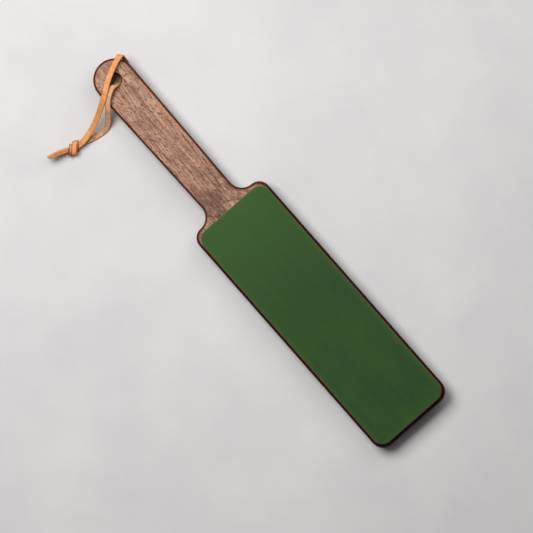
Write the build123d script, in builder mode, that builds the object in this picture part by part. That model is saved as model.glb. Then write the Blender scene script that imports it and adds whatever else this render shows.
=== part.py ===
from build123d import *

import os
from math import pi, radians, tan

# A two-sided leather strop: a walnut paddle with a strip of leather glued to each face.
#
# The frame: X runs along the paddle from the handle to the tip of the blade, Y across it and Z up.
# The origin is under the middle of the paddle, on the surface that the strop lies on.
# A leather lace is threaded through the hole in the handle, tied in an overhand knot and laid down
# beside the handle. All sizes are in millimetres.

# Paddle board
OVERALL_LENGTH = 365.2
BLADE_LENGTH = 220.1
BLADE_WIDTH = 70.0
BOARD_THICKNESS = 15.0
HANDLE_END_RADIUS = 16.5
NECK_WIDTH = 28.6
NECK_FILLET = 11.4
SHOULDER_RADIUS = 9.2
TIP_RADIUS = 10.0
ROUNDOVER = 2.4
HOLE_DIAMETER = 10.0
HOLE_CHAMFER = 0.8

# Leather strips, the glue under them and the compound rubbed into the upper one
LEATHER_THICKNESS = 3.0
LEATHER_CORNER = 8.8
LEATHER_EDGE_ROUND = 0.5
SIDE_MARGIN = 2.5
TIP_MARGIN = 2.6
SHOULDER_MARGIN = 3.7
GLUE_THICKNESS = 0.15
GLUE_INSET = 0.5
COMPOUND_THICKNESS = 0.15
COMPOUND_INSET = 0.8

# Lace: the tubes have about the section of the flat lace, 4.3 mm wide and 1.4 mm thick
LACE_DIAMETER = 2.6
RUN_SHARE = 0.45
HOLE_SIDE = 2.6

# Knot: a barrel round its own axis, which lies flat and is turned from -Y towards -X
KNOT_CENTRE = (-147.3, -57.5, 4.3)
KNOT_TURN = 6.0
KNOT_LENGTH = 11.5
KNOT_DIAMETER = 8.4
KNOT_END_DIAMETER = 7.0
STRAND_RISE = 1.4
LONG_LEG_SHIFT = -0.6
SHORT_LEG_SHIFT = 1.6
TAIL_SHIFT = -1.1

# Heights and stations along the paddle
SHOULDER_X = OVERALL_LENGTH / 2 - BLADE_LENGTH
HOLE_X = -OVERALL_LENGTH / 2 + HANDLE_END_RADIUS
BOARD_BOTTOM = LEATHER_THICKNESS + GLUE_THICKNESS
BOARD_TOP = BOARD_BOTTOM + BOARD_THICKNESS
LEATHER_LENGTH = BLADE_LENGTH - TIP_MARGIN - SHOULDER_MARGIN
LEATHER_WIDTH = BLADE_WIDTH - 2 * SIDE_MARGIN
LEATHER_X = SHOULDER_X + SHOULDER_MARGIN + LEATHER_LENGTH / 2
LEATHER_TOP = BOARD_TOP + GLUE_THICKNESS + LEATHER_THICKNESS

os.makedirs("parts", exist_ok=True)


def save(piece, name):
    """Labels a finished piece and writes it to its own STEP file."""
    piece.part.label = name
    export_step(piece.part, f"parts/{name}.step")


# --- Paddle board -------------------------------------------------------------------------------

with BuildPart() as paddle_board:
    with BuildSketch(Plane.XY.offset(BOARD_BOTTOM)):
        # The handle: a round end whose sides taper to the neck
        with Locations((HOLE_X, 0)):
            Circle(HANDLE_END_RADIUS)
        with Locations((SHOULDER_X, 0)):
            Rectangle(NECK_FILLET, NECK_WIDTH, align=(Align.MIN, Align.CENTER))
        make_hull()
        with Locations((SHOULDER_X, 0)):
            Rectangle(BLADE_LENGTH, BLADE_WIDTH, align=(Align.MIN, Align.CENTER))
    extrude(amount=BOARD_THICKNESS)

    uprights = paddle_board.edges().filter_by(Axis.Z)
    shoulder_line = uprights.filter_by_position(Axis.X, SHOULDER_X - 1, SHOULDER_X + 1)
    neck_edges = shoulder_line.filter_by_position(Axis.Y, -NECK_WIDTH, NECK_WIDTH)
    shoulder_edges = shoulder_line - neck_edges
    tip_edges = uprights.group_by(Axis.X)[-1]
    fillet(neck_edges, NECK_FILLET)
    fillet(shoulder_edges, SHOULDER_RADIUS)
    fillet(tip_edges, TIP_RADIUS)
    fillet(faces().group_by(Axis.Z)[0].edges() + faces().group_by(Axis.Z)[-1].edges(), ROUNDOVER)

    with Locations((HOLE_X, 0, BOARD_TOP)):
        Hole(HOLE_DIAMETER / 2)
    hole_rims = edges().filter_by(GeomType.CIRCLE).filter_by(
        lambda rim: abs(rim.radius - HOLE_DIAMETER / 2) < 0.01
    )
    chamfer(hole_rims, HOLE_CHAMFER)
save(paddle_board, "paddle_board")


# --- Leather strips, glue and compound ----------------------------------------------------------


def flat_sheet(bottom, thickness, inset=0.0, round_face=None):
    """A rounded rectangle over the leather's outline, pulled in by inset.

    round_face picks the face whose outer edges are rounded off: 0 is the lowest, -1 the highest.
    """
    with BuildPart() as sheet:
        with BuildSketch(Plane.XY.offset(bottom)):
            with Locations((LEATHER_X, 0)):
                RectangleRounded(
                    LEATHER_LENGTH - 2 * inset,
                    LEATHER_WIDTH - 2 * inset,
                    LEATHER_CORNER - inset,
                )
        extrude(amount=thickness)
        if round_face is not None:
            fillet(faces().sort_by(Axis.Z)[round_face].edges(), LEATHER_EDGE_ROUND)
    return sheet


save(flat_sheet(0.0, LEATHER_THICKNESS, round_face=0), "back_leather")
save(flat_sheet(LEATHER_THICKNESS, GLUE_THICKNESS, GLUE_INSET), "back_glue")
save(flat_sheet(BOARD_TOP, GLUE_THICKNESS, GLUE_INSET), "top_glue")
save(flat_sheet(BOARD_TOP + GLUE_THICKNESS, LEATHER_THICKNESS, round_face=-1), "top_leather")
save(flat_sheet(LEATHER_TOP, COMPOUND_THICKNESS, COMPOUND_INSET), "honing_compound")


# --- Lace ---------------------------------------------------------------------------------------

knot_plane = Plane(KNOT_CENTRE, x_dir=(0, -1, 0), z_dir=(0, 0, 1)).rotated((0, 0, -KNOT_TURN))
knot_way = knot_plane.x_dir


def at_knot(along, across, up):
    """A point given from the knot's middle: along its axis, across it towards +X, and up."""
    return tuple(knot_plane.from_local_coords(Vector(along, across, up)))


def corner_radii(points):
    """The largest arc that fits each corner: RUN_SHARE of its shorter run, over tan(turn / 2)."""
    radii = []
    for before, corner, after in zip(points, points[1:], points[2:]):
        arriving = Vector(*corner) - Vector(*before)
        leaving = Vector(*after) - Vector(*corner)
        shorter = min(arriving.length, leaving.length)
        half_turn = radians(arriving.get_angle(leaving)) / 2
        radii.append(RUN_SHARE * shorter / tan(half_turn))
    return radii


def lace_tube(name, points):
    """A round tube along straight runs that are joined by tangent arcs."""
    radii = corner_radii(points)
    with BuildPart() as tube:
        with BuildLine() as path:
            FilletPolyline(*points, radius=radii)
        with BuildSketch(Plane(path.line @ 0, z_dir=path.line % 0)):
            Circle(LACE_DIAMETER / 2)
        sweep()
    length = path.wire().length
    section = pi * LACE_DIAMETER**2 / 4
    print(f"{name}: length {length:.1f}, volume over section times length", end=" ")
    print(f"{tube.part.volume / (section * length):.4f}, radii", *(f"{r:.1f}" for r in radii))
    save(tube, name)


def in_hole(height):
    """A point of the lace's upright stretch, at the side of the hole nearer the blade."""
    return (HOLE_X + HOLE_SIDE, -0.2, height)


# The two legs meet end to end in the hole, half way through the board
HOLE_MIDDLE = in_hole(BOARD_BOTTOM + BOARD_THICKNESS / 2)

# Down through the hole, under the handle, round its edge, back over the top and down to the knot
LONG_LEG = [
    HOLE_MIDDLE,
    in_hole(6.5),
    (-163.6, 0.8, 1.5),
    (-165.0, 6.6, 1.4),
    (-167.0, 12.4, 1.5),
    (-169.5, 18.2, 2.3),
    (-172.4, 20.6, 8.8),
    (-175.5, 19.3, 15.8),
    (-177.2, 14.2, 20.7),
    (-174.2, 7.2, 20.3),
    (-169.6, -0.7, 20.1),
    (-164.9, -8.7, 20.3),
    (-160.1, -17.1, 20.0),
    (-155.6, -25.0, 15.9),
    (-151.7, -33.0, 11.2),
    (-148.6, -40.8, 7.6),
    at_knot(-KNOT_LENGTH / 2 - 4.5, LONG_LEG_SHIFT, STRAND_RISE),
    at_knot(-KNOT_LENGTH / 2, LONG_LEG_SHIFT, STRAND_RISE),
]

# Up out of the hole, over the handle in an arch, and down to lie on the surface up to the knot
SHORT_LEG = [
    HOLE_MIDDLE,
    in_hole(15.3),
    (-162.2, -1.4, 21.5),
    (-161.9, -8.2, 22.4),
    (-157.8, -14.2, 20.9),
    (-151.8, -20.2, 15.2),
    (-146.4, -25.4, 8.4),
    (-141.7, -30.6, 3.0),
    (-140.6, -36.4, 1.4),
    (-141.8, -42.2, 2.0),
    at_knot(-KNOT_LENGTH / 2 - 5.0, SHORT_LEG_SHIFT, -STRAND_RISE),
    at_knot(-KNOT_LENGTH / 2, SHORT_LEG_SHIFT, -STRAND_RISE),
]


def tail(rise):
    """The route of one tail, lifting a little, from a height above the knot's axis."""
    return [
        at_knot(KNOT_LENGTH / 2, TAIL_SHIFT, rise),
        at_knot(KNOT_LENGTH / 2 + 4.0, TAIL_SHIFT, rise),
        at_knot(KNOT_LENGTH / 2 + 9.0, TAIL_SHIFT - 2.1, rise + 0.9),
        at_knot(KNOT_LENGTH / 2 + 14.2, TAIL_SHIFT - 3.9, rise + 2.6),
    ]


with BuildPart() as lace_knot:
    with BuildSketch(knot_plane):
        with BuildLine():
            start = (-KNOT_LENGTH / 2, KNOT_END_DIAMETER / 2)
            finish = (KNOT_LENGTH / 2, KNOT_END_DIAMETER / 2)
            ThreePointArc(start, (0, KNOT_DIAMETER / 2), finish)
            Polyline(finish, (KNOT_LENGTH / 2, 0), (-KNOT_LENGTH / 2, 0), start)
        make_face()
    revolve(axis=Axis(KNOT_CENTRE, knot_way))

save(lace_knot, "lace_knot")
lace_tube("lace_long_leg", LONG_LEG)
lace_tube("lace_short_leg", SHORT_LEG)
lace_tube("lace_upper_tail", tail(STRAND_RISE))
lace_tube("lace_lower_tail", tail(-STRAND_RISE))
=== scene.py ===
"""The looks of a leather strop: walnut paddle, leather faces, green compound and a leather lace.

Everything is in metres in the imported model's frame: X along the paddle from the handle to the tip
of the blade, Y across it, Z up, with the surface that the strop lies on at Z = 0. The lace's points
and sizes are written in millimetres and scaled by MM where its line or its mesh is made.
"""

import math

import bmesh
import bpy
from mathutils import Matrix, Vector, noise


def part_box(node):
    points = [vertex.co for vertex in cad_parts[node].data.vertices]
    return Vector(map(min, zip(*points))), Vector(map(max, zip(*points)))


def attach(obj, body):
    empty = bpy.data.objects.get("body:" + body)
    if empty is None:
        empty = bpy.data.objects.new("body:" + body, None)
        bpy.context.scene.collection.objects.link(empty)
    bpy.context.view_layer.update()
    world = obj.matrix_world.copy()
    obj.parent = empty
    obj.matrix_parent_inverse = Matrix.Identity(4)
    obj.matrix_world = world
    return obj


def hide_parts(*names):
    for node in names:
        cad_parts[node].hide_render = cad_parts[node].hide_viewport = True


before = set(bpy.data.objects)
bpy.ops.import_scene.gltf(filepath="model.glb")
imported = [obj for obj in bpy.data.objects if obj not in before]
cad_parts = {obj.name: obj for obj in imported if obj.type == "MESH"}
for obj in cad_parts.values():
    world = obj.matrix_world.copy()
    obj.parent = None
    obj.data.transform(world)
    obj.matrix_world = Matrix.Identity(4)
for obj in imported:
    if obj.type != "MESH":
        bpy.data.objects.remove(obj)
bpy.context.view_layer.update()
scene = bpy.context.scene

MM = 0.001
UP = Vector((0, 0, 1))

board_low, board_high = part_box("paddle_board")


# --- Camera -------------------------------------------------------------------------------------

VIEW_TURN = math.radians(48.7)
VIEW_WIDTH = 406.7 * MM
VIEW_MIDDLE = (17.4 * MM, -7.0 * MM)
CAMERA_HEIGHT = 2.4
SENSOR = 36.0

camera_data = bpy.data.cameras.new("camera")
camera_data.sensor_width = SENSOR
camera_data.lens = SENSOR * (CAMERA_HEIGHT - board_high.z) / VIEW_WIDTH
camera = bpy.data.objects.new("camera", camera_data)
camera.location = (*VIEW_MIDDLE, CAMERA_HEIGHT)
camera.rotation_euler = (0, 0, VIEW_TURN)
scene.collection.objects.link(camera)
scene.camera = camera


# --- Helpers ------------------------------------------------------------------------------------


def smooth_step(value):
    """0 below 0, 1 above 1 and a smooth rise between."""
    value = min(1.0, max(0.0, value))
    return value * value * (3 - 2 * value)


def srgb(red, green, blue):
    """A colour given as 0 to 255 display values, in the linear values that shaders use."""
    return tuple(
        value / 255 / 12.92 if value <= 10 else ((value / 255 + 0.055) / 1.055) ** 2.4
        for value in (red, green, blue)
    )


def add_piece(name, vertices, faces, materials, face_materials=None):
    """A smooth-shaded object from vertices and faces, with its normals facing out."""
    mesh = bpy.data.meshes.new(name)
    mesh.from_pydata([tuple(vertex) for vertex in vertices], [], faces)
    for material in materials:
        mesh.materials.append(material)
    if face_materials:
        mesh.polygons.foreach_set("material_index", face_materials)
    mesh.polygons.foreach_set("use_smooth", [True] * len(mesh.polygons))
    surface = bmesh.new()
    surface.from_mesh(mesh)
    bmesh.ops.recalc_face_normals(surface, faces=surface.faces)
    surface.to_mesh(mesh)
    surface.free()
    piece = bpy.data.objects.new(name, mesh)
    scene.collection.objects.link(piece)
    return piece


def stand_for(piece, node):
    """Puts a piece on the only body in place of a CAD node, and hides the node."""
    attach(piece, "root")
    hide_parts(node)


# --- Material nodes -----------------------------------------------------------------------------


class Nodes:
    """A short way to build one material's node tree."""

    def __init__(self, name):
        self.material = bpy.data.materials.new(name)
        self.material.use_nodes = True
        self.tree = self.material.node_tree
        self.tree.nodes.clear()
        output = self.add("OutputMaterial")
        self.shader = self.add("BsdfPrincipled")
        self.tree.links.new(self.shader.outputs["BSDF"], output.inputs["Surface"])
        self.place = self.add("TexCoord").outputs["Object"]

    def add(self, kind, **inputs):
        """A shader node with some of its inputs set or linked."""
        node = self.tree.nodes.new("ShaderNode" + kind)
        for name, value in inputs.items():
            self.put(value, node.inputs[name.replace("_", " ")])
        return node

    def put(self, value, socket):
        """Links a socket, or sets a plain value."""
        if isinstance(value, bpy.types.NodeSocket):
            self.tree.links.new(value, socket)
        else:
            socket.default_value = value

    def mapping(self, scale, turn=0.0, shift=(0, 0, 0)):
        """Object coordinates turned about Z and shifted, then scaled."""
        turned = self.add("Mapping", Vector=self.place, Rotation=(0, 0, turn), Location=shift)
        return self.add("Mapping", Vector=turned.outputs["Vector"], Scale=scale).outputs["Vector"]

    def noise(self, scale, detail=4.0, rough=0.55, distortion=0.0, turn=0.0, shift=(0, 0, 0)):
        """Noise with a number of cells per metre along each axis."""
        if isinstance(scale, (int, float)):
            scale = (scale, scale, scale)
        node = self.add("TexNoise", Vector=self.mapping(scale, turn, shift), Scale=1.0)
        self.put(detail, node.inputs["Detail"])
        self.put(rough, node.inputs["Roughness"])
        self.put(distortion, node.inputs["Distortion"])
        return node.outputs["Fac"]

    def cells(self, scale):
        """Distance to the nearest of scattered points, for leather grain."""
        node = self.add("TexVoronoi", Vector=self.mapping((scale, scale, scale)), Scale=1.0)
        return node.outputs["Distance"]

    def ramp(self, source, *stops):
        """A colour ramp from (position, colour or grey) stops."""
        node = self.add("ValToRGB", Fac=source)
        elements = node.color_ramp.elements
        while len(elements) < len(stops):
            elements.new(0.5)
        for element, (position, colour) in zip(elements, stops):
            element.position = position
            grey = isinstance(colour, (int, float))
            element.color = (colour, colour, colour, 1) if grey else (*colour, 1)
        return node.outputs["Color"]

    def math(self, operation, first, second=0.0):
        """One operation on plain values."""
        node = self.add("Math")
        node.operation = operation
        self.put(first, node.inputs[0])
        self.put(second, node.inputs[1])
        return node.outputs["Value"]

    def blend(self, first, second, share):
        """first * (1 - share) + second * share, for plain values."""
        rest = self.math("MULTIPLY", first, 1 - share)
        return self.math("ADD", rest, self.math("MULTIPLY", second, share))

    def along(self, coordinate, start, length):
        """How far a coordinate is past a start, as a share of a length."""
        return self.math("MULTIPLY", self.math("ADD", coordinate, -start), 1 / length)

    def mix(self, share, first, second, kind="MIX"):
        """Mixes two colours."""
        node = self.add("Mix")
        node.data_type = "RGBA"
        node.blend_type = kind
        sockets = {socket.identifier: socket for socket in node.inputs}
        self.put(share, sockets["Factor_Float"])
        for value, name in ((first, "A_Color"), (second, "B_Color")):
            linked = isinstance(value, bpy.types.NodeSocket)
            self.put(value if linked else (*value, 1), sockets[name])
        return next(socket for socket in node.outputs if socket.identifier == "Result_Color")

    def axis(self, source, index):
        """One coordinate of a vector."""
        return self.add("SeparateXYZ", Vector=source).outputs[index]

    def steepness(self):
        """0 on level faces and 1 on upright ones."""
        up = self.axis(self.add("NewGeometry").outputs["Normal"], 2)
        return self.math("SUBTRACT", 1.0, self.math("ABSOLUTE", up))

    def bump(self, height, distance, strength):
        """Bends the shader's normal as a height would, which rises by a distance."""
        node = self.add("Bump", Strength=strength, Distance=distance, Height=height)
        self.put(node.outputs["Normal"], self.shader.inputs["Normal"])

    def finish(self, colour, roughness, specular):
        """Sets what the surface looks like and returns the material."""
        self.put(colour, self.shader.inputs["Base Color"])
        self.put(roughness, self.shader.inputs["Roughness"])
        self.put(specular, self.shader.inputs["Specular IOR Level"])
        return self.material


# --- Lace: materials ----------------------------------------------------------------------------


def lace_material(name, dark, light, roughness, fuzz):
    """Leather of the lace: two tones, fine grain and some fuzz."""
    n = Nodes(name)
    tone = n.noise(300, 4, 0.6)
    fine = n.noise(2600, 3, 0.65)
    colour = n.ramp(n.blend(tone, fine, 0.45), (0.36, dark), (0.62, light))
    n.bump(n.blend(tone, fine, fuzz), 0.15 * MM, 0.5)
    shine = n.ramp(fine, (0.3, roughness - 0.06), (0.7, roughness + 0.06))
    return n.finish(colour, shine, 0.35)


GRAIN, FLESH, CUT = 0, 1, 2
LACE_MATERIALS = (
    lace_material("lace_grain", srgb(194, 120, 60), srgb(230, 160, 94), 0.5, 0.4),
    lace_material("lace_flesh", srgb(176, 124, 84), srgb(226, 180, 136), 0.8, 0.7),
    lace_material("lace_cut", srgb(166, 98, 50), srgb(208, 138, 82), 0.72, 0.6),
)
# The edges of the knot's wraps lie in its creases, so their material is darker: painted shade of the
# creases
KNOT_MATERIALS = (
    *LACE_MATERIALS[:CUT],
    lace_material("lace_knot_painted_crease_shade", srgb(96, 48, 22), srgb(150, 86, 44), 0.75, 0.6),
)


# --- Lace: routes -------------------------------------------------------------------------------

LACE_WIDTH = 4.3
LACE_THICKNESS = 1.4
ROUTE_STEPS = 14

KNOT_CENTRE = Vector((-147.3, -57.5, 4.3))
KNOT_TURN = math.radians(6.0)
KNOT_ALONG = Vector((-math.sin(KNOT_TURN), -math.cos(KNOT_TURN), 0))
KNOT_ACROSS = Vector((math.cos(KNOT_TURN), -math.sin(KNOT_TURN), 0))


def at_knot(along, across, up):
    """A point given from the knot's middle: along its axis, across it towards +X, and up."""
    return KNOT_CENTRE + KNOT_ALONG * along + KNOT_ACROSS * across + UP * up


HOLE_MIDDLE = (-163.7, -0.2, 10.65)

# Each route is a list of points, each with the way that the lace's width points there

# Down through the hole, under the handle, round its edge, back over the top and into the knot
LONG_LEG = [
    (HOLE_MIDDLE, (0.85, 0.5, 0)),
    ((-163.8, -0.2, 6.0), (0.95, 0.3, 0)),
    ((-163.8, 0.8, 1.8), (0.93, 0.36, 0)),
    ((-165.2, 5.4, 1.4), (0.9, 0.43, 0)),
    ((-168.2, 10.8, 1.4), (0.9, 0.43, 0)),
    ((-172.4, 16.4, 1.6), (0.88, 0.45, 0.1)),
    ((-173.9, 16.1, 7.5), (0.87, 0.46, 0.15)),
    ((-175.2, 16.2, 14.0), (0.84, 0.52, 0.1)),
    ((-177.5, 16.2, 21.2), (0.79, 0.61, 0.05)),
    ((-175.8, 10.6, 22.8), (0.88, 0.47, 0)),
    ((-173.4, 4.9, 24.2), (0.9, 0.44, 0)),
    ((-170.2, -1.4, 25.0), (0.89, 0.45, 0)),
    ((-166.6, -7.4, 25.3), (0.87, 0.5, 0)),
    ((-162.2, -13.2, 24.8), (0.87, 0.5, 0)),
    ((-158.0, -20.0, 21.4), (0.89, 0.46, 0)),
    ((-154.0, -27.8, 14.0), (0.92, 0.4, 0)),
    ((-150.6, -35.6, 10.2), (0.95, 0.3, 0)),
    ((-148.2, -43.6, 8.0), (0.97, 0.25, 0)),
    ((-147.0, -51.0, 6.6), (0.95, 0.3, 0)),
    ((-147.9, -56.0, 5.2), (0.97, 0.2, 0)),
    ((-148.2, -59.5, 4.4), (0.99, 0.1, 0)),
]

# Up out of the hole on edge, over the handle, down and along the surface into the knot
SHORT_LEG = [
    (HOLE_MIDDLE, (-0.85, -0.5, 0)),
    ((-162.4, 0.2, 14.0), (-0.5, -0.86, 0)),
    ((-161.4, -0.6, 19.2), (-0.3, -0.4, -0.86)),
    ((-162.6, -5.0, 22.6), (-0.84, -0.2, -0.5)),
    ((-161.0, -9.3, 23.4), (-0.84, -0.52, -0.1)),
    ((-157.6, -14.3, 21.9), (-0.72, -0.69, 0)),
    ((-153.2, -18.3, 18.6), (-0.7, -0.71, 0)),
    ((-148.7, -22.3, 11.4), (-0.72, -0.69, 0.2)),
    ((-144.6, -26.4, 4.2), (-0.8, -0.6, 0.5)),
    ((-143.0, -31.8, 1.7), (-0.98, -0.2, 0.5)),
    ((-143.8, -38.2, 1.6), (-0.99, 0.13, 0.45)),
    ((-145.5, -44.9, 2.0), (-0.98, 0.18, 0.35)),
    ((-147.4, -51.2, 2.9), (-0.97, 0.22, 0.2)),
    ((-148.2, -56.3, 3.3), (-0.97, 0.2, 0)),
    ((-148.4, -59.5, 3.6), (-0.98, 0.1, 0)),
]


def tail_route(shift, reach):
    """One tail, on edge beside the other: its shift towards +X and how much further it goes."""
    return [
        (at_knot(2.0, -1.2 + shift, 0.4), (0.3, 0.1, 1)),
        (at_knot(5.6, -2.7 + shift, 0.8), (0.5, 0.05, 1)),
        (at_knot(9.2, -3.8 + shift, 1.9), (0.5, 0, 1)),
        (at_knot(12.8, -4.6 + shift, 3.3), (0.42, 0, 1)),
        (at_knot(16.8, -5.2 + shift, 5.0), (0.34, 0, 1)),
        (at_knot(20.2 + reach, -5.7 + shift, 6.6), (0.28, 0, 1)),
    ]


def smooth_line(points):
    """Points along the NURBS spline that has the given points as control points, in metres."""
    curve = bpy.data.curves.new("route", "CURVE")
    curve.dimensions = "3D"
    spline = curve.splines.new("NURBS")
    spline.points.add(len(points) - 1)
    for control, place in zip(spline.points, points):
        control.co = (*(Vector(place) * MM), 1)
    spline.order_u = 3
    spline.use_endpoint_u = True
    spline.resolution_u = ROUTE_STEPS
    holder = bpy.data.objects.new("route", curve)
    scene.collection.objects.link(holder)
    mesh = bpy.data.meshes.new_from_object(holder)
    line = [vertex.co.copy() for vertex in mesh.vertices]
    bpy.data.objects.remove(holder)
    bpy.data.curves.remove(curve)
    bpy.data.meshes.remove(mesh)
    return line


def width_ways(route, line):
    """The lace's width direction at each point of the line, eased between the route's points."""
    stations = [0]
    for place, _ in route[1:]:
        target = Vector(place) * MM
        ahead = range(stations[-1], len(line))
        stations.append(min(ahead, key=lambda i: (line[i] - target).length))
    ways = []
    leg = 0
    for i in range(len(line)):
        while leg < len(route) - 2 and i > stations[leg + 1]:
            leg += 1
        span = max(1, stations[leg + 1] - stations[leg])
        share = smooth_step((i - stations[leg]) / span)
        ways.append(Vector(route[leg][1]).lerp(Vector(route[leg + 1][1]), share).normalized())
    return ways


# --- Lace: meshes -------------------------------------------------------------------------------

FACE_STEPS = 8
CORNER_STEPS = 3
CORNER_SHARE = 0.3

# The lace's unevenness, with its scales in waves per metre: its edges wander outwards from where the
# noise is at EDGE_LEVEL, each edge with a noise of its own, and its faces swell, both in millimetres.
# Its edges are bent down by a share of its thickness.
EDGE_WANDER = 0.13
EDGE_SCALE = 620
EDGE_LEVEL = 0.3
EDGES_APART = 7
FACE_SWELL = 0.04
SWELL_SCALE = 150
CUP_SHARE = 0.08


def lace_section(width, thickness):
    """A flat section with rounded edges, as (across, out, side) points, grain side first."""
    corner = CORNER_SHARE * thickness
    half, rise = width / 2 - corner, thickness / 2 - corner
    section = []
    for way, face in ((1, GRAIN), (-1, FLESH)):
        for k in range(FACE_STEPS + 1):
            section.append((way * half * (1 - 2 * k / FACE_STEPS), way * thickness / 2, face))
        for k in range(1, 2 * CORNER_STEPS):
            turn = math.pi / 2 * k / CORNER_STEPS
            across = -half - corner * math.sin(turn)
            out = math.copysign(rise, math.cos(turn)) + corner * math.cos(turn)
            section.append((way * across, way * out, CUT))
    return section


def add_strap(parts, line, ways, seed, width=LACE_WIDTH, thickness=LACE_THICKNESS, slant=0.0):
    """Adds a flat strap along a line to lists of vertices, faces and face materials.

    slant leans the last cut end, from one long edge to the other.
    """
    vertices, faces, sides = parts
    section = lace_section(width * MM, thickness * MM)
    count, base, last = len(section), len(vertices), len(line) - 1
    for i, place in enumerate(line):
        way = (line[min(i + 1, last)] - line[max(i - 1, 0)]).normalized()
        across = (ways[i] - way * ways[i].dot(way)).normalized()
        out = way.cross(across)
        lean = slant if i == last else 0.0
        swell = FACE_SWELL * MM * noise.noise(place * SWELL_SCALE + Vector((0, seed, 0)))
        for s, o, _ in section:
            edge = abs(s) / (width * MM / 2)
            edge_seed = Vector((seed, math.copysign(EDGES_APART, s), 0))
            notch = noise.noise(place * EDGE_SCALE + edge_seed)
            outward = edge**4 * EDGE_WANDER * MM * abs(notch - EDGE_LEVEL)
            shifted = s + math.copysign(outward, s)
            lifted = o - CUP_SHARE * MM * edge**2 * thickness + swell
            vertices.append(place + across * shifted + out * lifted + way * (s * lean))
    for i in range(last):
        for k in range(count):
            m = (k + 1) % count
            a, b = base + i * count, base + (i + 1) * count
            faces.append((a + k, b + k, b + m, a + m))
            same = section[k][2] == section[m][2]
            sides.append(section[k][2] if same else CUT)
    faces.append(tuple(base + k for k in range(count)))
    faces.append(tuple(base + last * count + k for k in reversed(range(count))))
    sides.extend((CUT, CUT))


def lace_piece(name, node, route, seed, slant=0.0):
    """A flat stretch of lace along a route, in place of its tube. Returns it with its line."""
    line = smooth_line([place for place, _ in route])
    parts = ([], [], [])
    add_strap(parts, line, width_ways(route, line), seed, slant=slant)
    piece = add_piece(name, parts[0], parts[1], LACE_MATERIALS, parts[2])
    stand_for(piece, node)
    return piece, line


# --- Lace: knot ---------------------------------------------------------------------------------

# The wraps lie in a slanting plane: their way across the knot, and the way of their width
WRAP_WAY = (KNOT_ALONG * 0.58 + KNOT_ACROSS * 0.81).normalized()
WRAP_SIDE = (KNOT_ALONG * 0.81 - KNOT_ACROSS * 0.58).normalized()
WRAP_STEPS = 80

# Each wrap's middle, its half width and half height, its first and last angle in degrees, how far it
# drifts along the knot, how far its width tilts up, and its strap's seed, width and thickness
WRAPS = (
    (at_knot(2.7, -1.6, -0.6), (3.5, 3.1), (230, -60), 0.8, 0.35, (31, 3.4, 1.3)),
    (at_knot(0.2, -0.7, 0.15), (4.9, 3.6), (300, -110), 1.2, -0.1, (32, 4.0, 1.4)),
    (at_knot(-2.3, -1.4, -0.5), (3.6, 3.3), (190, -20), -0.6, -0.45, (34, 2.8, 1.3)),
)


def wrap_line(middle, halves, angles, drift, tilt):
    """A turn of lace round the knot, from an angle to another, with its width directions."""
    semi_across, semi_up = halves
    start, finish = angles
    line, ways = [], []
    for i in range(WRAP_STEPS + 1):
        angle = math.radians(start + (finish - start) * i / WRAP_STEPS)
        shift = drift * (i / WRAP_STEPS - 0.5)
        across = WRAP_WAY * (semi_across * math.cos(angle))
        place = middle + across + UP * (semi_up * math.sin(angle))
        line.append((place + WRAP_SIDE * shift) * MM)
        ways.append(-(WRAP_SIDE + UP * tilt).normalized())
    return line, ways


# The small fold of lace that stands on edge between the wraps and the tails
FOLD = [
    (at_knot(3.6, -2.6, 1.6), (0.1, 0, 1)),
    (at_knot(5.4, -1.7, 1.4), (0, 0, 1)),
    (at_knot(6.9, 0.2, 1.0), (0, 0, 1)),
    (at_knot(6.6, 2.2, 0.8), (0, 0, 1)),
    (at_knot(4.9, 2.2, 0.9), (0, 0, 1)),
    (at_knot(4.4, 0.6, 1.1), (0.1, 0.2, 1)),
    (at_knot(2.4, -0.4, 1.0), (0.3, 0.5, 1)),
]


def build_knot():
    """The overhand knot's three wraps and the small fold beside them, as one piece."""
    parts = ([], [], [])
    for middle, halves, angles, drift, tilt, strap in WRAPS:
        line, ways = wrap_line(middle, halves, angles, drift, tilt)
        add_strap(parts, line, ways, *strap)
    line = smooth_line([place for place, _ in FOLD])
    add_strap(parts, line, width_ways(FOLD, line), 33, width=3.4, thickness=1.1)
    return add_piece("lace_knot_wraps", parts[0], parts[1], KNOT_MATERIALS, parts[2])


TAIL_SLANT = 0.2

long_leg, long_line = lace_piece("lace_long_leg_strap", "lace_long_leg", LONG_LEG, 3)
short_leg, short_line = lace_piece("lace_short_leg_strap", "lace_short_leg", SHORT_LEG, 5)
upper_route, lower_route = tail_route(-0.7, 0.7), tail_route(0.7, -0.5)
upper_tail, _ = lace_piece("lace_upper_tail_strap", "lace_upper_tail", upper_route, 8, TAIL_SLANT)
lower_tail, _ = lace_piece("lace_lower_tail_strap", "lace_lower_tail", lower_route, 9, TAIL_SLANT)
knot = build_knot()
stand_for(knot, "lace_knot")


# --- Board --------------------------------------------------------------------------------------


def dress_node(node, material):
    """Gives a CAD node's own mesh a material."""
    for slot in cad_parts[node].material_slots:
        slot.material = material


HANDLE_END_RADIUS = 16.5 * MM
HOLE_X = board_low.x + HANDLE_END_RADIUS

# Where the painted shade on the hole's wall ends, a little outside the wall
HOLE_SHADE_RADIUS = 5.2 * MM

# Where the cross bands near the shoulder and the blade's painted edge shade begin, and over what
# length
BANDS_START, BANDS_RISE = -100 * MM, 62.5 * MM
BLADE_SHADE_START, BLADE_SHADE_RISE = -36 * MM, 16.667 * MM

# The board's end, from under the leather to the tip, is painted as dark as the edges, as painted
# shade.
# The stops where that begins are shares of the reach.
TIP_REACH = 200 * MM
TIP_SHADE_STOPS = (0.84, 0.87)


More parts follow.
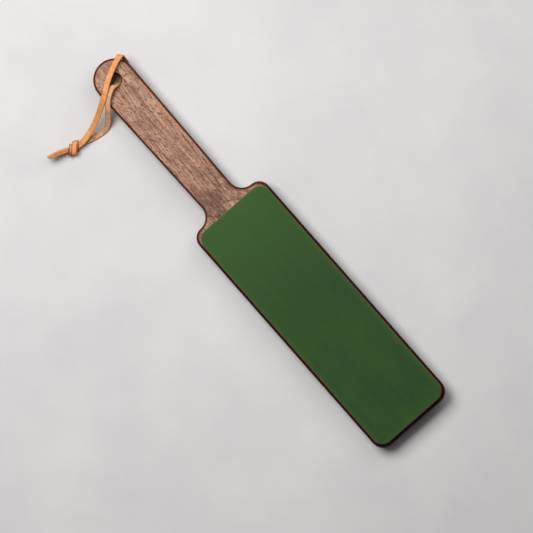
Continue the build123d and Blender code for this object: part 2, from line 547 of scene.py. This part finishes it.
def walnut_material():
    """Oiled walnut: grain along X, pores, cross figure, a darker edge tone, and painted shade on
    edges, end and hole wall.
    """
    n = Nodes("walnut")
    x = n.axis(n.place, 0)
    lines = n.noise((45, 1100, 1100), 3, 0.6, 0.5, turn=0.05)
    streaks = n.noise((16, 260, 260), 5, 0.62, 0.8, shift=(0.3, 0, 0))
    figure = n.noise((90, 60, 60), 3, 0.5, 0.3, turn=0.5)
    tone = n.blend(n.blend(streaks, lines, 0.62), figure, 0.16)
    wood = n.ramp(
        tone,
        (0.36, srgb(98, 66, 54)),
        (0.46, srgb(150, 110, 88)),
        (0.55, srgb(184, 144, 119)),
        (0.66, srgb(206, 166, 138)),
    )
    pores = n.noise((330, 1500, 1500), 2, 0.5, turn=-0.2)
    pore_mask = n.ramp(pores, (0.53, 0.0), (0.63, 1.0))
    wood = n.mix(n.math("MULTIPLY", pore_mask, 0.8), wood, srgb(76, 52, 50))
    near_shoulder = n.along(x, BANDS_START, BANDS_RISE)
    near_shoulder = n.ramp(near_shoulder, (0.0, 0.0), (0.8, 0.6), (1.0, 0.95))
    bands = n.ramp(n.noise((160, 70, 70), 3, 0.6, 0.6, turn=0.9), (0.42, 0.0), (0.62, 1.0))
    wood = n.mix(n.math("MULTIPLY", near_shoulder, bands), wood, srgb(82, 60, 56))
    on_blade = n.ramp(n.along(x, BLADE_SHADE_START, BLADE_SHADE_RISE), (0.0, 0.17), (1.0, 1.0))
    # Edge colours: on the handle the wood's darker edge tone mixed with painted shade; on the blade
    # near black, all painted shade
    handle_rim_tone_and_shade = n.ramp(tone, (0.38, srgb(66, 31, 16)), (0.6, srgb(98, 50, 28)))
    blade_rim_painted_shade = n.ramp(tone, (0.38, srgb(26, 9, 5)), (0.6, srgb(50, 20, 9)))
    # The hole's wall takes the blade's near-black colour, as painted shade in the hole
    from_hole = n.add("VectorMath")
    from_hole.operation = "LENGTH"
    n.put(n.mapping((1, 1, 0), shift=(-HOLE_X, 0, 0)), from_hole.inputs[0])
    hole_wall_shade = n.math("LESS_THAN", from_hole.outputs["Value"], HOLE_SHADE_RADIUS)
    rim = n.mix(n.math("MAXIMUM", on_blade, hole_wall_shade), handle_rim_tone_and_shade, blade_rim_painted_shade)
    # Steep faces take the edge colour, which is painted shade; on the handle only the steeper faces
    # do
    edge = n.ramp(n.math("MULTIPLY", n.steepness(), on_blade), (0.001, 0.0), (0.014, 1.0))
    # The board's end is painted dark, as painted shade
    tip_shade = n.ramp(n.along(x, 0.0, TIP_REACH), (TIP_SHADE_STOPS[0], 0.0), (TIP_SHADE_STOPS[1], 1.0))
    colour = n.mix(n.math("MAXIMUM", edge, tip_shade), wood, rim)
    n.bump(n.math("SUBTRACT", n.math("MULTIPLY", lines, 0.5), pore_mask), 0.1 * MM, 0.4)
    return n.finish(colour, n.ramp(tone, (0.35, 0.54), (0.65, 0.66)), 0.13)


dress_node("paddle_board", walnut_material())


# --- Leather, compound and glue -----------------------------------------------------------------

LEATHER_CORNER = 8.8 * MM
SMALLEST_CORNER = 0.2 * MM
SIDE_STEPS = (110, 34)
CORNER_TURN_STEPS = 12

# How much further the upper strip is drawn than its CAD solid, at each end and at each side, and how
# far it is moved
SPREAD = Vector((0.05, 0.35, 0)) * MM
TOWARDS_HANDLE = Vector((-0.4, 0, 0)) * MM

# How far in a slab's first ring lies, how uneven its face is, with scales in waves per metre, and
# the insets, in millimetres, of the rings over that face
FIRST_INSET = 20 * MM
SLAB_WAVE = 0.05 * MM
RIPPLE_SCALE = 60
FINE_SCALE = 420
FINE_SHARE = 0.35
HEIGHT_SCALE = 900
FACE_INSETS = (1.6, 3.0, 5.0, 8.0, 12.0, 16.0, 20.0, 24.0, 28.0, 31.5)

# The strips' edges: slightly hollow sides, and the rounding of the worn side
SIDE_HOLLOW = 0.05 * MM
WORN_INSET = 0.4 * MM
WORN_DROP = 0.45 * MM
WORN_END = 0.55 * MM

# The coat's edge, which wraps the leather's worn one, as insets and heights over the leather in
# millimetres, and where the coat's face begins
COAT_INSET = 0.07 * MM
COAT_EDGE = ((0.3, -0.5), (0.0, -0.42), (0.08, -0.12), (0.22, 0.03), (0.45, 0.09))
COAT_EDGE_END = COAT_INSET + 0.9 * MM


def upper_box():
    """The upper strip's box, a little wider and nearer to the handle than its CAD solid."""
    low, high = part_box("top_leather")
    return low - SPREAD + TOWARDS_HANDLE, high + SPREAD + TOWARDS_HANDLE


def outline(low, high, inset):
    """Points round a rounded rectangle that fits a box, pulled in by inset."""
    radius = max(LEATHER_CORNER - inset, SMALLEST_CORNER)
    half_x = (high.x - low.x) / 2 - inset - radius
    half_y = (high.y - low.y) / 2 - inset - radius
    middle = (low + high) / 2
    corners = ((1, 1), (-1, 1), (-1, -1), (1, -1))
    points = []
    for quarter, (sx, sy) in enumerate(corners):
        corner = Vector((middle.x + sx * half_x, middle.y + sy * half_y))
        for k in range(CORNER_TURN_STEPS):
            turn = math.pi / 2 * (quarter + k / CORNER_TURN_STEPS)
            points.append(corner + Vector((math.cos(turn), math.sin(turn))) * radius)
        nx, ny = corners[(quarter + 1) % 4]
        following = Vector((middle.x + nx * half_x, middle.y + ny * half_y))
        turn = math.pi / 2 * (quarter + 1)
        side = Vector((math.cos(turn), math.sin(turn))) * radius
        steps = SIDE_STEPS[quarter % 2]
        for k in range(steps):
            points.append(corner.lerp(following, k / steps) + side)
    return points


def ringed_slab(name, low, high, profile, material):
    """A closed slab through rings, each an inset, a height and a share of the unevenness."""
    vertices, faces = [], []
    for inset, height, loose in profile:
        for point in outline(low, high, inset):
            ripple = noise.noise(Vector((*point * RIPPLE_SCALE, height * HEIGHT_SCALE)))
            fine = noise.noise(Vector((*point * FINE_SCALE, height * HEIGHT_SCALE + 5)))
            lift = loose * SLAB_WAVE * (ripple + FINE_SHARE * fine)
            vertices.append((point.x, point.y, height + lift))
    count = len(vertices) // len(profile)
    for ring in range(len(profile) - 1):
        for k in range(count):
            here, following = ring * count + k, ring * count + (k + 1) % count
            faces.append((here, following, following + count, here + count))
    faces.append(tuple(range(count)))
    faces.append(tuple(range(len(vertices) - count, len(vertices))))
    return add_piece(name, vertices, faces, [material])


def face_rings(height, start):
    """Rings over a slab's wide face, closer together near its edge."""
    return [(inset * MM, height, 1.0) for inset in FACE_INSETS if inset * MM > start]


def leather_strip(name, node, worn_up, material):
    """A strip of leather with a soft worn edge on its outer side, in place of its CAD node."""
    low, high = upper_box() if worn_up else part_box(node)
    thickness = high.z - low.z
    glued, worn = (low.z, high.z) if worn_up else (high.z, low.z)
    step = math.copysign(1, worn - glued)
    rings = [
        (FIRST_INSET, glued, 0.0),
        (0.3 * MM, glued, 0.0),
        (0.02 * MM, glued + step * 0.12 * MM, 0.0),
    ]
    for k in range(1, 6):
        inset = SIDE_HOLLOW * math.sin(math.pi * k / 6)
        rings.append((inset, glued + step * thickness * k / 7, 0.0))
    for turn in range(0, 91, 18):
        angle = math.radians(turn)
        inset = WORN_INSET * (1 - math.cos(angle))
        rings.append((inset, worn - step * WORN_DROP * (1 - math.sin(angle)), 0.0))
    rings.extend(face_rings(worn, WORN_END))
    piece = ringed_slab(name, low, high, rings, material)
    stand_for(piece, node)


def leather_material():
    """Natural vegetable-tanned leather, with pores and a darker, burnished cut edge."""
    n = Nodes("strop_leather")
    cloud = n.noise(24, 5, 0.6)
    fine = n.noise(900, 3, 0.6)
    tone = n.blend(cloud, fine, 0.3)
    face = n.ramp(tone, (0.34, srgb(164, 116, 78)), (0.64, srgb(204, 158, 114)))
    cut = n.ramp(fine, (0.3, srgb(132, 78, 62)), (0.7, srgb(178, 118, 96)))
    edge = n.ramp(n.steepness(), (0.02, 0.0), (0.2, 1.0))
    n.bump(n.blend(n.cells(900), fine, 0.4), 0.12 * MM, 0.45)
    return n.finish(n.mix(edge, face, cut), n.ramp(fine, (0.3, 0.55), (0.7, 0.68)), 0.35)


# The width of the coat's brighter rim
COAT_RIM = 5 * MM


def compound_material(low, high):
    """Green honing compound rubbed into leather, brighter at its edges and towards the handle."""
    n = Nodes("green_compound")
    x, y = n.axis(n.place, 0), n.axis(n.place, 1)
    middle, half = (low + high) / 2, (high - low) / 2
    from_end = n.math("SUBTRACT", half.x, n.math("ABSOLUTE", n.math("SUBTRACT", x, middle.x)))
    from_side = n.math("SUBTRACT", half.y, n.math("ABSOLUTE", y))
    inward = n.along(n.math("MINIMUM", from_end, from_side), 0.0, COAT_RIM)
    rim = n.ramp(inward, (0.1, 1.0), (0.9, 0.0))
    cloud = n.noise((18, 26, 26), 4, 0.55, 0.4)
    streak = n.noise((12, 240, 240), 4, 0.6, turn=0.02)
    fine = n.noise(1500, 3, 0.6)
    tone = n.blend(n.blend(cloud, streak, 0.3), fine, 0.18)
    coat = n.ramp(tone, (0.34, srgb(33, 62, 30)), (0.64, srgb(47, 76, 33)))
    from_handle = n.along(x, low.x, high.x - low.x)
    uneven = n.math("ADD", from_handle, n.math("MULTIPLY", cloud, 0.3))
    near_handle = n.ramp(uneven, (0.15, 0.85), (0.6, 0.0))
    coat = n.mix(near_handle, coat, srgb(52, 84, 36))
    specks = n.ramp(n.noise(700, 1, 0.4, shift=(0.2, 0.1, 0)), (0.735, 0.0), (0.76, 0.6))
    coat = n.mix(specks, coat, srgb(34, 54, 28))
    coat = n.mix(n.math("MULTIPLY", rim, 0.4), coat, srgb(56, 90, 38))
    n.bump(n.blend(streak, fine, 0.5), 0.08 * MM, 0.35)
    return n.finish(coat, n.ramp(cloud, (0.3, 0.66), (0.7, 0.78)), 0.2)


def compound_coat():
    """The thin coat of compound over the upper leather, in place of its CAD node."""
    low, high = upper_box()
    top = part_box("honing_compound")[1].z
    rings = [(FIRST_INSET, high.z - 0.2 * MM, 0.0)]
    for inset, rise in COAT_EDGE:
        rings.append((COAT_INSET + inset * MM, high.z + rise * MM, 0.0))
    rings.append((COAT_EDGE_END, top - 0.02 * MM, 0.0))
    rings.extend(face_rings(top, COAT_EDGE_END))
    material = compound_material(low, high)
    piece = ringed_slab("green_compound_coat", low, high, rings, material)
    stand_for(piece, "honing_compound")


def glue_material():
    """A thin film of dried contact glue."""
    n = Nodes("contact_glue")
    cloud = n.noise(300, 4, 0.6)
    n.bump(cloud, 0.05 * MM, 0.4)
    return n.finish(n.ramp(cloud, (0.3, srgb(120, 92, 52)), (0.7, srgb(160, 130, 84))), 0.45, 0.4)


leather = leather_material()
leather_strip("top_leather_strip", "top_leather", True, leather)
leather_strip("back_leather_strip", "back_leather", False, leather)
compound_coat()
glue = glue_material()
dress_node("top_glue", glue)
dress_node("back_glue", glue)


# --- Floor and lights ---------------------------------------------------------------------------


FLOOR_HALF = 3.0


def make_floor():
    """A plain pale floor under the strop."""
    corners = [(FLOOR_HALF * x, FLOOR_HALF * y, 0) for x, y in ((-1, -1), (1, -1), (1, 1), (-1, 1))]
    n = Nodes("floor")
    colour = n.ramp(n.noise(9, 4, 0.6), (0.3, srgb(203, 201, 201)), (0.7, srgb(216, 214, 213)))
    n.bump(n.noise(900, 3, 0.6), 0.1 * MM, 0.25)
    add_piece("floor", corners, [(0, 1, 2, 3)], [n.finish(colour, 0.8, 0.2)])


def area_light(name, place, aim, size, power):
    """A square soft light that faces a point."""
    data = bpy.data.lights.new(name, "AREA")
    data.size = size
    data.energy = power
    light = bpy.data.objects.new(name, data)
    light.location = place
    light.rotation_euler = (Vector(aim) - Vector(place)).to_track_quat("-Z", "Y").to_euler()
    scene.collection.objects.link(light)


make_floor()
area_light("key", (-0.5, -0.11, 1.05), (0.0, 0.0, 0.0), 0.6, 13.5)
area_light("fill", (-0.2, 0.56, 0.8), (0.0, 0.0, 0.0), 0.7, 2.8)
world = bpy.data.worlds.new("studio")
world.use_nodes = True
background = world.node_tree.nodes["Background"]
background.inputs["Color"].default_value = (1.0, 1.0, 1.0, 1)
background.inputs["Strength"].default_value = 0.07
scene.world = world
scene.view_settings.view_transform = "Standard"
